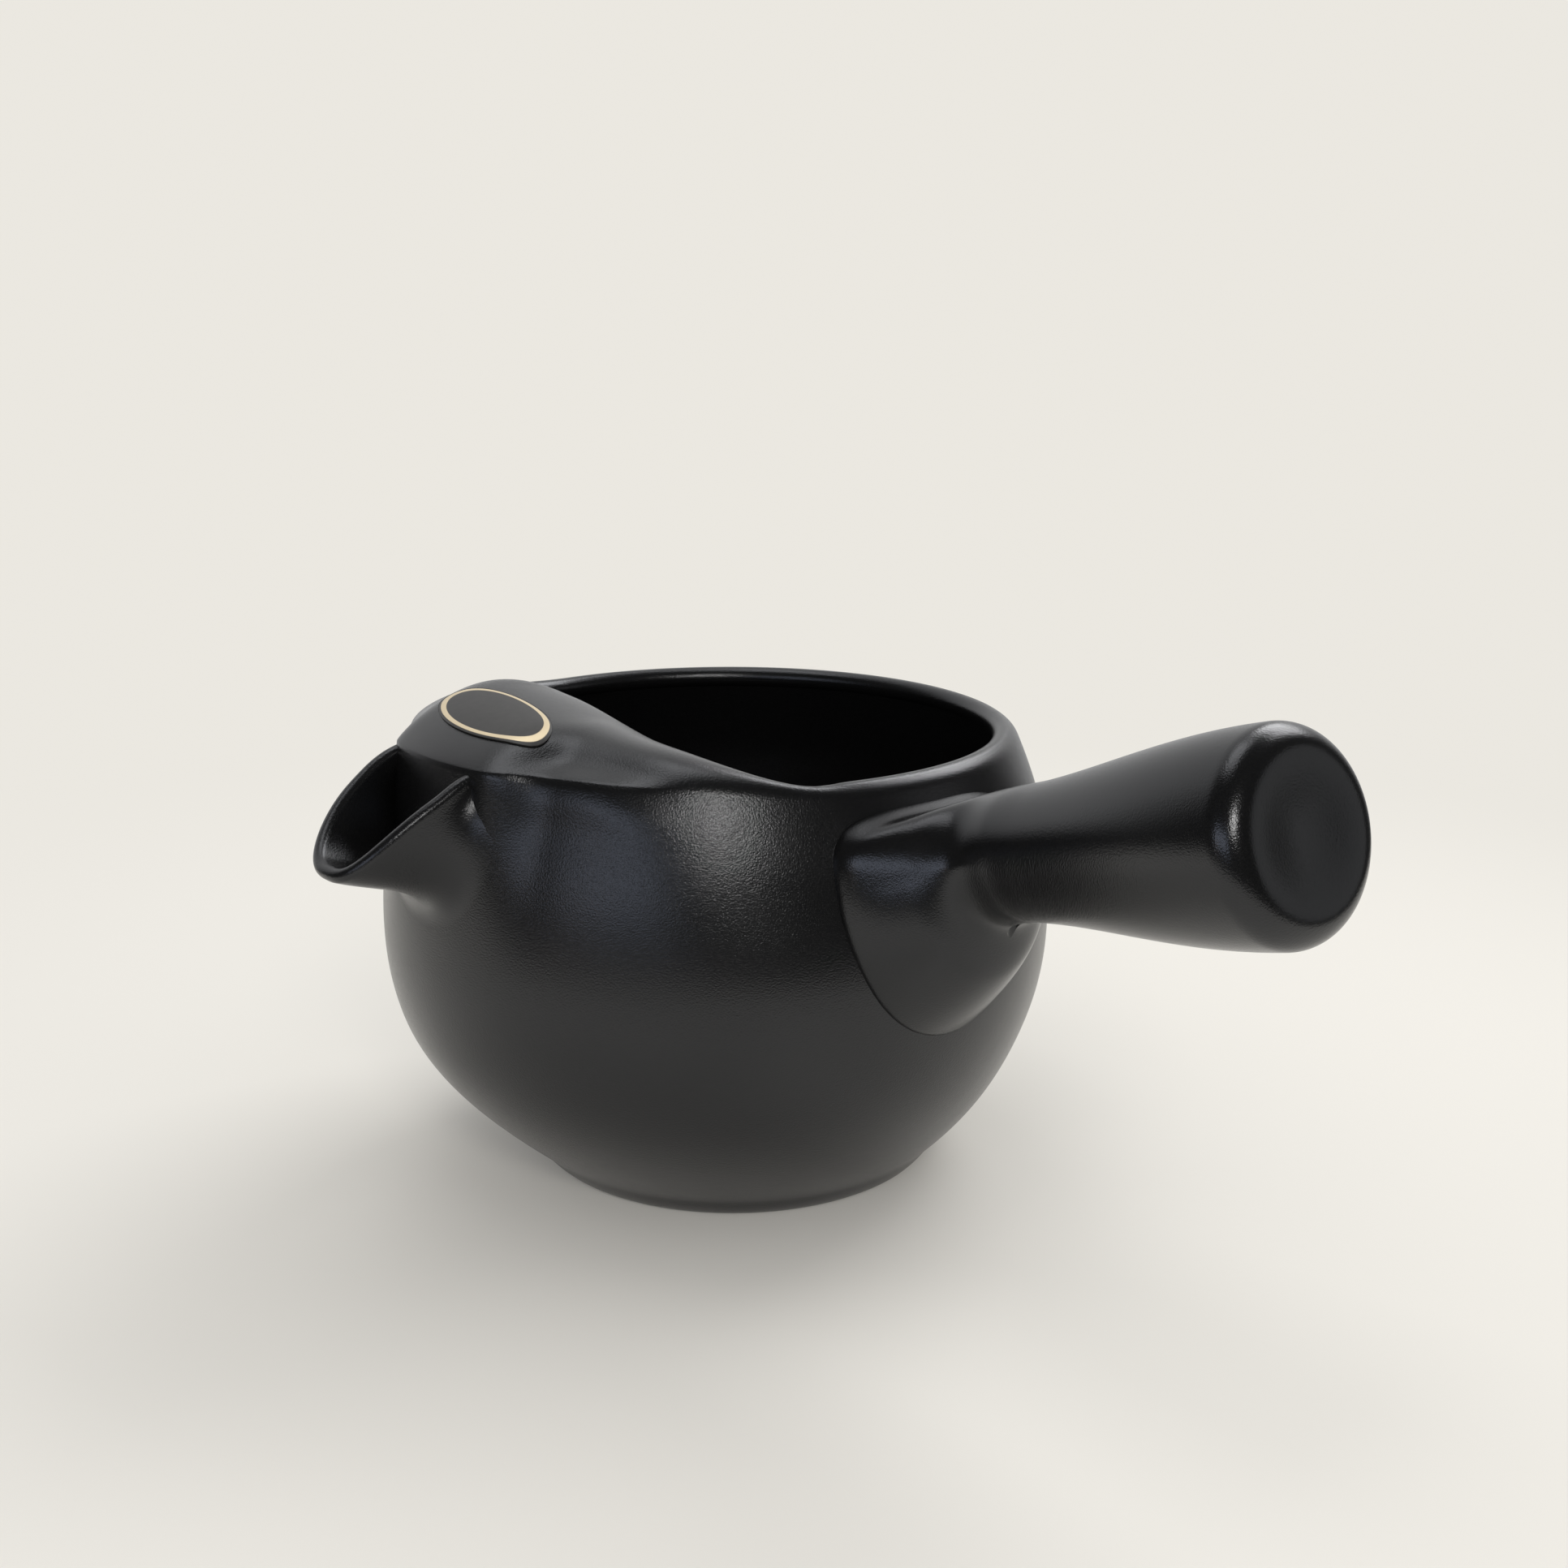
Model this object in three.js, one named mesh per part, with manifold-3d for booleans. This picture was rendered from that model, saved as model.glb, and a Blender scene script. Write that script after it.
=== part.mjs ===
// A lidless side-handled teapot in black glazed clay: a round bowl whose shoulder closes over the
// front as a hood, a duckbill spout, a hollow handle set at a right angle to it, a pierced strainer
// inside the bowl, and an oval foil sticker on the hood. Millimetres. The origin is the centre of
// the foot's resting face, +Z is up, the spout points to -X and the handle to -Y.
import * as THREE from 'three';
import { mergeVertices } from 'three/addons/utils/BufferGeometryUtils.js';
import Module from 'manifold-3d';

const wasm = await Module();
wasm.setup();

// Foot and bowl
const footRadius = 33.3;
const footTopRadius = 37.2;
const footHeight = 4;
const bellyRadius = 57.8;
const bellyHeight = 46;
const bellyFullness = 2.3;
const bellyLean = 4.1;
const shoulderLean = 2.5;
const leanStart = -4;
const leanFull = 32;
const leanEaseEnd = 64;
const shoulderFullness = 1.85;
const wall = 3.8;
const floorThickness = 5;
const floorRound = 4;
const floorRoundRise = 0.8;

// Rim of the opening and hood over its front
const rimRadius = 49.3;
const rimHeight = 79.2;
const lipRun = 4;
const hoodEdge = 28.6;
const hoodLift = 4.9;
const hoodPeakAngle = 25;
const hoodNearSpread = 85;
const hoodFarSpread = 62;
const hoodCrownRise = 3.3;
const hoodCrownPlace = 0.71;
const hoodCrownTilt = 4.5;
const farCrownRise = 0.6;
const farFallStart = 15;
const farFallEnd = 40;
const hoodCornerSharpness = 6;
const mouthWallDrop = 3.2;
const nearWallDrop = 7;
const farWallDrop = 6.2;
const frontWallTop = 78.2;
const mouthWallRise = 1.2;
const mouthBrowHeight = 82.4;
const nearBrowHeight = 80.4;
const farBrowHeight = 79.5;
const hoodStartAngle = 35;
const hoodEndAngle = 76;

// Cheek: the rounded ridge that runs back from the near corner of the mouth, and the gutter behind
const cheekHeight = 1.3;
const cheekPlace = 0;
const cheekFall = 0.12;
const cheekSpread = 0.13;
const gutterDepth = 1.0;
const gutterPlace = 0.36;
const gutterSpread = 0.16;
const cheekStartAngle = 8;
const mouthEndAngle = 11;
const cheekFullAngle = 24;
const cheekFadeAngle = 26;
const cheekEndAngle = 50;

// Spout and the passage through the wall behind it
const spoutWall = 2.3;
const mouthReach = 58;
const farHalfWidth = 13.5;
const nearHalfWidth = 10.3;
const mouthHeight = 78.2;
const farCornerRise = 1.2;
const cornerSetback = 2.5;
const cornerStart = 55;
const cornerRiseStart = 50;
const billLength = 21;
const billTipHeight = 64.3;
const billSlope = 0.143;
const farFullness = 2.4;
const nearFullness = 3;
const spoutRootTop = 76.5;
const spoutRootDepth = 24;
const spoutRootSpread = 7.5;
const spoutRootFullness = 2.2;
const rootRunMiddle = 7;
const rootRunCorner = 3.8;
const lipRunMiddle = 8.5;
const lipRunCorner = 3;
const passageHeight = 13;
const passageWidth = 20;
const passageTop = 69.3;
const passageReach = 15;

// Handle
const handleWall = 3.6;
const handleTilt = 15.5;
const neckReach = 79;
const neckHeight = 71.2;
const neckRadius = 10.3;
const neckSetback = 6;
const gripLength = 46;
const gripRadius = 15.2;
const gripSwell = 1.6;
const endRound = 4.5;
const endDish = 1;
const throatSetback = 12.5;
const throatRadius = 11;
const throatDip = 1.3;
const padCentre = -1.5;
const padProud = 1.8;
const padTopProud = 4;
const padSquareness = 3.5;
const padRound = 1.6;
const padHalfWidth = 19;
const padTop = 73.5;
const padBottom = 37;
const padWidestHeight = 62;
const padLobe = 3;
const padEdge = 0.2;
const ventDiameter = 1.8;
const ventReach = 12;

// Strainer
const strainerRadius = 13.5;
const strainerRise = 5.5;
const strainerThickness = 2;
const strainerHole = 1.8;
const strainerPitch = 3.6;
const strainerSkirt = 6;
const strainerStandoff = 1.6;
const strainerDrill = 12;

// Oval sticker on the hood
const labelLength = 28;
const labelWidth = 15.6;
const labelThickness = 0.3;
const labelReach = 47.6;
const labelSideways = -0.5;
const labelSkew = -5;

// Clearance between pieces that are luted or stuck together
const seam = 0.3;

const degrees = Math.PI / 180;

function smooth(from, to, value) {
  return THREE.MathUtils.smootherstep(value, from, to);
}

function mix(a, b, share) {
  return a + (b - a) * share;
}

// How far the form is the hooded front (1) rather than the plain rim (0) at an angle from the spout
function frontShare(angle) {
  return 1 - smooth(hoodStartAngle * degrees, hoodEndAngle * degrees, Math.abs(angle));
}

// Share of the hood's full lift that its rear edge has at an angle; the peak lies a little to the
// side away from the handle
function edgeLift(angle) {
  const away = angle - hoodPeakAngle * degrees;
  const spread = (away < 0 ? hoodNearSpread : hoodFarSpread) * degrees;
  return 0.5 + 0.5 * Math.cos(Math.PI * Math.min(Math.abs(away) / spread, 1));
}

// Height at which the shoulder or the front wall ends and the brow begins
function browStart(angle) {
  const front = frontWallTop + mouthWallRise * (1 - cheekShare(angle));
  return mix(rimHeight - lipRun, front, frontShare(angle));
}

// How far the front has passed from the mouth (0) to the cheeks (1)
function cheekShare(angle) {
  return smooth(mouthEndAngle * degrees, cheekFullAngle * degrees, Math.abs(angle));
}

// Distance that the round sections are moved towards the spout at a height
function lean(height) {
  const rise = smooth(leanStart, leanFull, height);
  const ease = smooth(bellyHeight, leanEaseEnd, height);
  return bellyLean * rise + (shoulderLean - bellyLean) * ease;
}

// Radius of the bowl's outside from its axis, up to the shoulder
function bowlRadius(angle, height) {
  const toward = Math.cos(angle);
  if (height < bellyHeight) {
    const below = (bellyHeight - height) / (bellyHeight - footHeight);
    const narrowing = (bellyRadius - footTopRadius) * below ** bellyFullness;
    return bellyRadius - narrowing + lean(height) * toward;
  }
  const above = (height - bellyHeight) / (rimHeight - bellyHeight);
  const drop = (bellyRadius - rimRadius) * above ** shoulderFullness;
  const plain = bellyRadius - drop + lean(height) * toward;
  const cheekDrop = angle < 0 ? nearWallDrop : farWallDrop;
  const frontDrop = mix(mouthWallDrop, cheekDrop, cheekShare(angle));
  const hooded = bellyRadius + bellyLean * toward - frontDrop * above ** shoulderFullness;
  return mix(plain, hooded, frontShare(angle));
}

// Outer edge of the opening: the round rim, cut by the straight rear edge of the hood
function rimEdge(angle) {
  const round = rimRadius + shoulderLean * Math.cos(angle);
  const height = rimHeight + hoodLift * edgeLift(angle) - wall / 2 * (1 - frontShare(angle));
  const straight = Math.max(Math.cos(angle), 0) / hoodEdge;
  const power = hoodCornerSharpness;
  const radius = (straight ** power + round ** -power) ** (-1 / power);
  return new THREE.Vector2(radius, height);
}

// Curve from the shoulder over the brow and the hood to the edge of the opening
function browCurve(angle) {
  const share = frontShare(angle);
  const edge = rimEdge(angle);
  const startHeight = browStart(angle);
  const start = new THREE.Vector2(bowlRadius(angle, startHeight), startHeight);
  const slope = bowlRadius(angle, startHeight) - bowlRadius(angle, startHeight - 1);
  const cheekBrow = angle < 0 ? nearBrowHeight : farBrowHeight;
  const browHeight = mix(mouthBrowHeight, cheekBrow, cheekShare(angle));
  const rise = mix(lipRun / 3, browHeight - startHeight, share);
  const brow = new THREE.Vector2(start.x + slope * rise, start.y + rise);
  const plainCrown = new THREE.Vector2(mix(edge.x, brow.x, 0.5), mix(edge.y, brow.y, 0.5));
  const farFall = smooth(farFallStart * degrees, farFallEnd * degrees, angle);
  const crownRise = mix(hoodCrownRise + hoodCrownTilt * Math.sin(angle), farCrownRise, farFall);
  const crown = new THREE.Vector2(mix(edge.x, start.x, hoodCrownPlace), edge.y + crownRise);
  return new THREE.CubicBezierCurve(start, brow, plainCrown.lerp(crown, share), edge);
}

// Height of the cheek ridge, and depth of the gutter behind it, across the brow curve
function cheek(angle, along) {
  const shown = smooth(cheekStartAngle * degrees, cheekFullAngle * degrees, -angle);
  const faded = smooth(cheekFadeAngle * degrees, cheekEndAngle * degrees, -angle);
  const place = along + cheekFall * smooth(cheekFullAngle * degrees, cheekEndAngle * degrees, -angle);
  const ridge = cheekHeight * Math.exp(-(((place - cheekPlace) / cheekSpread) ** 2));
  const gutter = gutterDepth * Math.exp(-(((place - gutterPlace) / gutterSpread) ** 2));
  return (shown - faded) * (ridge - gutter);
}

// Stretches of the bowl's meridian: foot wall, lower belly, shoulder, brow and hood
const footEnd = 0.06;
const bellyEnd = 0.4;
const shoulderEnd = 0.62;
const browLength = 28;

function meridianPoint(angle, share) {
  if (share <= footEnd) {
    const up = share / footEnd;
    const out = mix(footRadius, footTopRadius, up ** 0.7);
    return new THREE.Vector2(out + lean(footHeight) * up * Math.cos(angle), footHeight * up);
  }
  if (share <= shoulderEnd) {
    const lower = (share - footEnd) / (bellyEnd - footEnd);
    const upper = (share - bellyEnd) / (shoulderEnd - bellyEnd);
    const height = share < bellyEnd
      ? mix(footHeight, bellyHeight, lower)
      : mix(bellyHeight, browStart(angle), upper);
    const swell = cheek(angle, (height - browStart(angle)) / browLength);
    return new THREE.Vector2(bowlRadius(angle, height) + swell, height);
  }
  const along = (share - shoulderEnd) / (1 - shoulderEnd);
  const curve = browCurve(angle);
  const point = curve.getPoint(along);
  const tangent = curve.getTangent(along);
  const bump = cheek(angle, along);
  return new THREE.Vector2(point.x + tangent.y * bump, point.y - tangent.x * bump);
}

// A point of the bowl's outside; turn is the angle round the axis, 0 at the spout
function bowlPoint(turn, share) {
  const angle = Math.atan2(Math.sin(turn), Math.cos(turn));
  const point = meridianPoint(angle, share);
  return new THREE.Vector3(-point.x * Math.cos(turn), point.x * Math.sin(turn), point.y);
}

// Outward normal of a surface given as a function of two shares
function surfaceNormal(surface, u, v) {
  const step = 0.002;
  const before = Math.max(v - step, 0);
  const after = Math.min(v + step, 1);
  const alongU = surface(u + step, v).sub(surface(u - step, v));
  const alongV = surface(u, after).sub(surface(u, before));
  return alongV.cross(alongU).normalize();
}

// A closed mesh from rings of points that share one count; the first and last rings are capped
function closedLoft(rings) {
  const count = rings[0].length;
  const positions = [];
  const indices = [];
  for (const ring of rings) {
    for (const point of ring) {
      positions.push(point.x, point.y, point.z);
    }
  }
  for (let row = 0; row < rings.length - 1; row += 1) {
    for (let column = 0; column < count; column += 1) {
      const next = (column + 1) % count;
      const a = row * count + column;
      const b = row * count + next;
      indices.push(a, a + count, b, b, a + count, b + count);
    }
  }
  capRing(positions, indices, rings[0], 0, false);
  capRing(positions, indices, rings.at(-1), (rings.length - 1) * count, true);
  const geometry = new THREE.BufferGeometry();
  geometry.setAttribute('position', new THREE.Float32BufferAttribute(positions, 3));
  geometry.setIndex(indices);
  return geometry;
}

function capRing(positions, indices, ring, offset, last) {
  const centre = new THREE.Vector3();
  for (const point of ring) {
    centre.addScaledVector(point, 1 / ring.length);
  }
  const middle = positions.length / 3;
  positions.push(centre.x, centre.y, centre.z);
  for (let column = 0; column < ring.length; column += 1) {
    const a = offset + column;
    const b = offset + (column + 1) % ring.length;
    indices.push(...(last ? [middle, b, a] : [middle, a, b]));
  }
}

// Whether a closed mesh has its faces turned inwards, from the sign of its volume
function isInsideOut(geometry) {
  const corner = (index) => new THREE.Vector3().fromBufferAttribute(geometry.attributes.position, index);
  const order = geometry.index.array;
  let volume = 0;
  for (let start = 0; start < order.length; start += 3) {
    const normal = corner(order[start + 1]).cross(corner(order[start + 2]));
    volume += corner(order[start]).dot(normal);
  }
  return volume < 0;
}

// Boolean work
function toSolid(geometry) {
  const bare = geometry.clone();
  bare.deleteAttribute('normal');
  bare.deleteAttribute('uv');
  const merged = mergeVertices(bare, 1e-4);
  if (isInsideOut(merged)) {
    merged.index.array.reverse();
  }
  return new wasm.Manifold(new wasm.Mesh({
    numProp: 3,
    vertProperties: new Float32Array(merged.attributes.position.array),
    triVerts: new Uint32Array(merged.index.array),
  }));
}

function toGeometry(solid) {
  const mesh = solid.getMesh();
  const geometry = new THREE.BufferGeometry();
  geometry.setAttribute('position', new THREE.Float32BufferAttribute(mesh.vertProperties, 3));
  geometry.setIndex(Array.from(mesh.triVerts));
  geometry.computeVertexNormals();
  return geometry;
}

const turns = 72;

// One ring of the bowl, moved along the surface's normal
function bowlRing(share, offset) {
  const ring = [];
  for (let step = 0; step < turns; step += 1) {
    const turn = (step / turns) * 2 * Math.PI;
    const point = bowlPoint(turn, share);
    ring.push(point.addScaledVector(surfaceNormal(bowlPoint, turn, share), offset));
  }
  return ring;
}

// A flat ring round the axis
function flatRing(radius, height) {
  const ring = [];
  for (let step = 0; step < turns; step += 1) {
    const turn = (step / turns) * 2 * Math.PI;
    ring.push(new THREE.Vector3(-radius * Math.cos(turn), radius * Math.sin(turn), height));
  }
  return ring;
}

// Rings of the rounded lip between the outside and the inside of the wall
function lipRings() {
  const steps = 4;
  const rings = [];
  for (let step = 1; step < steps; step += 1) {
    const ring = [];
    const swing = (step / steps) * Math.PI;
    for (let index = 0; index < turns; index += 1) {
      const turn = (index / turns) * 2 * Math.PI;
      const edge = bowlPoint(turn, 1);
      const normal = surfaceNormal(bowlPoint, turn, 1);
      const onward = edge.clone().sub(bowlPoint(turn, 0.99)).normalize();
      edge.addScaledVector(normal, (Math.cos(swing) - 1) * wall / 2);
      edge.addScaledVector(onward, Math.sin(swing) * wall / 2);
      ring.push(edge);
    }
    rings.push(ring);
  }
  return rings;
}

const outerShares = [0, 0.03, footEnd, 0.09, 0.13, 0.17, 0.22, 0.27, 0.33, 0.39, 0.45, 0.51, 0.56,
  shoulderEnd, 0.65, 0.675, 0.7, 0.725, 0.75, 0.775, 0.8, 0.83, 0.87, 0.91, 0.95, 1];
const innerShares = [1, 0.94, 0.88, 0.82, 0.77, 0.72, 0.67, shoulderEnd, 0.55, 0.48, 0.4, 0.33,
  0.26, 0.2, 0.15, 0.11];
const cavityShares = [...innerShares].reverse();

// The bowl: outside, rounded lip, inside and floor in one closed shell
function bowlShell() {
  const rings = [flatRing(footRadius / 2, 0)];
  for (const share of outerShares) {
    rings.push(bowlRing(share, 0));
  }
  rings.push(...lipRings());
  for (const share of innerShares) {
    rings.push(bowlRing(share, -wall));
  }
  rings.push(flatRing(footRadius - floorRound, floorThickness + floorRoundRise));
  rings.push(flatRing(footRadius / 2, floorThickness));
  return toSolid(closedLoft(rings));
}

// The bowl's outer form as one solid block, grown or shrunk along its normals
function bowlBlock(offset, shares) {
  const rings = shares.map((share) => bowlRing(share, offset));
  return toSolid(closedLoft(rings));
}

// Cutter for the pour passage: an oval bar along X
function passageCutter() {
  const shape = new THREE.Shape();
  shape.absellipse(0, 0, passageWidth / 2, passageHeight / 2, 0, 2 * Math.PI);
  const length = { depth: 2 * passageReach, bevelEnabled: false, curveSegments: 16 };
  const bar = new THREE.ExtrudeGeometry(shape, length);
  bar.rotateX(Math.PI / 2);
  bar.rotateZ(Math.PI / 2);
  bar.translate(-mouthReach - passageReach, 0, passageTop - passageHeight / 2);
  return toSolid(bar);
}

function bowlGeometry() {
  return toGeometry(bowlShell().subtract(passageCutter()));
}

// Half the mouth's width on the side that an angle round it points to
function mouthHalfWidth(angle) {
  return angle < 0 ? nearHalfWidth : farHalfWidth;
}

// Spout: the top line of its lip, from the near corner of the mouth (-90 degrees) round to the far one
function lipLine(angle) {
  const forward = Math.cos(angle) / billLength;
  const sideways = Math.abs(Math.sin(angle)) / mouthHalfWidth(angle);
  const power = angle < 0 ? nearFullness : farFullness;
  const reach = (forward ** power + sideways ** power) ** (-1 / power);
  const corner = smooth(cornerStart * degrees, 90 * degrees, Math.abs(angle)) ** 2;
  const out = reach * Math.cos(angle) - cornerSetback * corner;
  const fall = (mouthHeight - billTipHeight - billSlope * billLength) / billLength ** 2;
  const rise = farCornerRise * smooth(cornerRiseStart * degrees, 90 * degrees, angle);
  return new THREE.Vector3(
    -mouthReach - out,
    reach * Math.sin(angle),
    mouthHeight - billSlope * out - fall * out * out + rise,
  );
}

// A point of the bowl's front at a sideways distance and height
function bowlFront(y, height) {
  let x = bellyRadius;
  for (let pass = 0; pass < 6; pass += 1) {
    const radius = bowlRadius(Math.atan2(y, x), height);
    x = Math.sqrt(radius * radius - y * y);
  }
  return new THREE.Vector3(-x, y, height);
}

// Where the spout's outside begins on the bowl, a little further on towards the lip by a step
function rootLine(angle, step) {
  const forward = Math.cos(angle) / spoutRootDepth;
  const sideways = Math.abs(Math.sin(angle)) / (mouthHalfWidth(angle) + spoutRootSpread);
  const reach = (forward ** spoutRootFullness + sideways ** spoutRootFullness) ** (-1 / spoutRootFullness);
  const y = (reach - step) * Math.sin(angle);
  const height = spoutRootTop - (reach - step) * Math.cos(angle) + step * 0.4 * Math.abs(Math.sin(angle));
  return bowlFront(y, height);
}

// A point of the spout's outside: u runs round the mouth from corner to corner, v from root to lip
function spoutPoint(u, v) {
  const angle = (THREE.MathUtils.clamp(u, 0, 1) - 0.5) * Math.PI;
  const side = Math.abs(Math.sin(angle)) ** 1.5;
  const low = rootLine(angle, 0);
  const leave = rootLine(angle, 0.3).sub(low).normalize();
  const arrive = new THREE.Vector3(-1, 0, 0.35).lerp(new THREE.Vector3(-0.5, 0, 0.85), side).normalize();
  const outward = new THREE.Vector3(-0.33, 0, -0.94)
    .lerp(new THREE.Vector3(0, Math.sign(angle) * 0.95, -0.3), side)
    .normalize();
  const high = lipLine(angle)
    .addScaledVector(arrive, -spoutWall / 2)
    .addScaledVector(outward, spoutWall / 2);
  const first = low.clone().addScaledVector(leave, mix(rootRunMiddle, rootRunCorner, side));
  const second = high.clone().addScaledVector(arrive, -mix(lipRunMiddle, lipRunCorner, side));
  return new THREE.CubicBezierCurve3(low, first, second, high).getPoint(v);
}

// The spout as a bent sheet with a rounded lip: outside from root to lip, then back down inside
function spoutShell() {
  const across = 28;
  const along = 9;
  const lipSteps = 4;
  const sections = [];
  for (let index = 0; index <= across; index += 1) {
    const u = index / across;
    const normalAt = (v) => surfaceNormal(spoutPoint, THREE.MathUtils.clamp(u, 0.01, 0.99), v);
    const outside = [];
    const inside = [];
    for (let row = 0; row <= along; row += 1) {
      const v = row / along;
      const point = spoutPoint(u, v);
      outside.push(point);
      inside.push(point.clone().addScaledVector(normalAt(v), -spoutWall));
    }
    const edge = spoutPoint(u, 1);
    const onward = edge.clone().sub(spoutPoint(u, 0.97)).normalize();
    const lip = [];
    for (let step = 1; step < lipSteps; step += 1) {
      const swing = (step / lipSteps) * Math.PI;
      lip.push(edge.clone()
        .addScaledVector(normalAt(1), (Math.cos(swing) - 1) * spoutWall / 2)
        .addScaledVector(onward, Math.sin(swing) * spoutWall / 2));
    }
    sections.push([...outside, ...lip, ...inside.reverse()]);
  }
  return toSolid(closedLoft(sections));
}

function spoutGeometry() {
  return toGeometry(spoutShell().subtract(bowlBlock(seam, outerShares)));
}

// Handle: its axis rises from the neck towards the closed end
const handleAxis = new THREE.Vector3(0, -Math.cos(handleTilt * degrees), Math.sin(handleTilt * degrees));
const handleUp = new THREE.Vector3(0, Math.sin(handleTilt * degrees), Math.cos(handleTilt * degrees));
const handleSide = new THREE.Vector3(1, 0, 0);
const neckCentre = new THREE.Vector3(0, -neckReach, neckHeight);

// A point at a distance along the handle from the neck, at a radius and a turn from the top
function gripPoint(along, radius, turn) {
  return neckCentre.clone()
    .addScaledVector(handleAxis, along)
    .addScaledVector(handleUp, radius * Math.cos(turn))
    .addScaledVector(handleSide, radius * Math.sin(turn));
}

// A point on the bowl's handle side at a given x and height, and the normal there
function bowlSide(x, height) {
  let y = bellyRadius;
  for (let pass = 0; pass < 6; pass += 1) {
    const radius = bowlRadius(Math.atan2(y, -x), height);
    y = Math.sqrt(radius * radius - x * x);
  }
  return new THREE.Vector3(x, -y, height);
}

function bowlSideNormal(x, height) {
  const alongX = bowlSide(x + 0.1, height).sub(bowlSide(x - 0.1, height));
  const alongZ = bowlSide(x, height + 0.1).sub(bowlSide(x, height - 0.1));
  return alongX.cross(alongZ).normalize();
}

// The leaf-shaped outline of the root pad, shrunk by an inset and lifted off the bowl
function padPoint(turn, inset, lift) {
  const upper = Math.cos(turn) > 0;
  const tall = upper ? padTop - padWidestHeight : padWidestHeight - padBottom;
  const power = upper ? 2 / padSquareness : 1;
  const across = Math.sign(Math.sin(turn)) * Math.abs(Math.sin(turn)) ** power;
  const up = Math.sign(Math.cos(turn)) * Math.abs(Math.cos(turn)) ** power;
  const x = padCentre + (padHalfWidth - inset) * across;
  const height = padWidestHeight + (tall - inset) * up;
  return bowlSide(x, height).addScaledVector(bowlSideNormal(x, height), lift);
}

// Radius of the grip at a distance from the neck
function gripRadiusAt(along) {
  const share = (along + neckSetback) / (gripLength - endRound + neckSetback);
  const swell = Math.sin(THREE.MathUtils.clamp(share, 0, 1) * Math.PI / 2) ** gripSwell;
  return neckRadius + (gripRadius - neckRadius) * swell;
}

// The line of the handle's root at a turn: up off the pad's edge, over its lobe to the throat and grip
function rootCurve(turn) {
  const lobe = padLobe * Math.max(-Math.cos(turn), 0);
  const proud = mix(padProud, padTopProud, (1 + Math.cos(turn)) / 2);
  const shoulder = padPoint(turn, padRound, proud);
  const throat = gripPoint(-throatSetback, throatRadius - throatDip * Math.max(Math.cos(turn), 0), turn);
  const middle = shoulder.clone().lerp(throat, 0.5).addScaledVector(handleAxis, lobe);
  const grip = [-neckSetback, 0, neckSetback].map((along) => gripPoint(along, gripRadiusAt(along), turn));
  return new THREE.CatmullRomCurve3([
    padPoint(turn, padEdge, -wall),
    padPoint(turn, 0, padEdge),
    shoulder,
    middle,
    throat,
    ...grip,
  ], false, 'centripetal');
}

const handleTurns = 36;
const gripStations = [36, 28, 20, 13, 6];

function handleRing(place) {
  const ring = [];
  for (let step = 0; step < handleTurns; step += 1) {
    ring.push(place((step / handleTurns) * 2 * Math.PI));
  }
  return ring;
}

// Rings of the handle from its closed end back to the root, drawn in by an inset
function handleRings(inset) {
  const rings = [];
  const length = gripLength - inset;
  const round = Math.max(endRound - inset, 1);
  const flat = gripRadius - inset - round;
  for (const share of [0.25, 0.6]) {
    const dish = endDish * (1 - share * share);
    rings.push(handleRing((turn) => gripPoint(length - dish, flat * share, turn)));
  }
  for (const swing of [0, 30, 60, 90]) {
    const radius = flat + round * Math.sin(swing * degrees);
    const along = length - round + round * Math.cos(swing * degrees);
    rings.push(handleRing((turn) => gripPoint(along, radius, turn)));
  }
  for (const along of gripStations) {
    rings.push(handleRing((turn) => gripPoint(along, gripRadiusAt(along) - inset, turn)));
  }
  const rows = 14;
  for (let row = rows; row >= 0; row -= 1) {
    rings.push(handleRing((turn) => {
      const curve = rootCurve(turn);
      const last = curve.points.length - 1;
      const point = curve.getPoint((row / rows) * (last - 1) / last);
      const centre = rootCentre(row / rows);
      return point.lerp(centre, inset / Math.max(point.distanceTo(centre), 2 * inset));
    }));
  }
  return rings;
}

// Middle of the root at a share of its length, towards which the hollow is drawn in
function rootCentre(share) {
  const pad = bowlSide(padCentre, padWidestHeight);
  return pad.lerp(neckCentre, share);
}

function handleShell() {
  const outside = handleRings(0);
  const inside = handleRings(handleWall);
  return toSolid(closedLoft([...outside, ...inside.reverse()]));
}

// Vent through the crease under the neck, into the hollow
function ventCutter() {
  const drill = new THREE.CylinderGeometry(ventDiameter / 2, ventDiameter / 2, ventReach, 10);
  drill.rotateX(Math.PI / 2);
  const throatUnder = gripPoint(-throatSetback, throatRadius, Math.PI);
  drill.translate(0, throatUnder.y, throatUnder.z);
  return toSolid(drill);
}

function handleGeometry() {
  return toGeometry(handleShell().subtract(bowlBlock(seam, outerShares)).subtract(ventCutter()));
}

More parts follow.
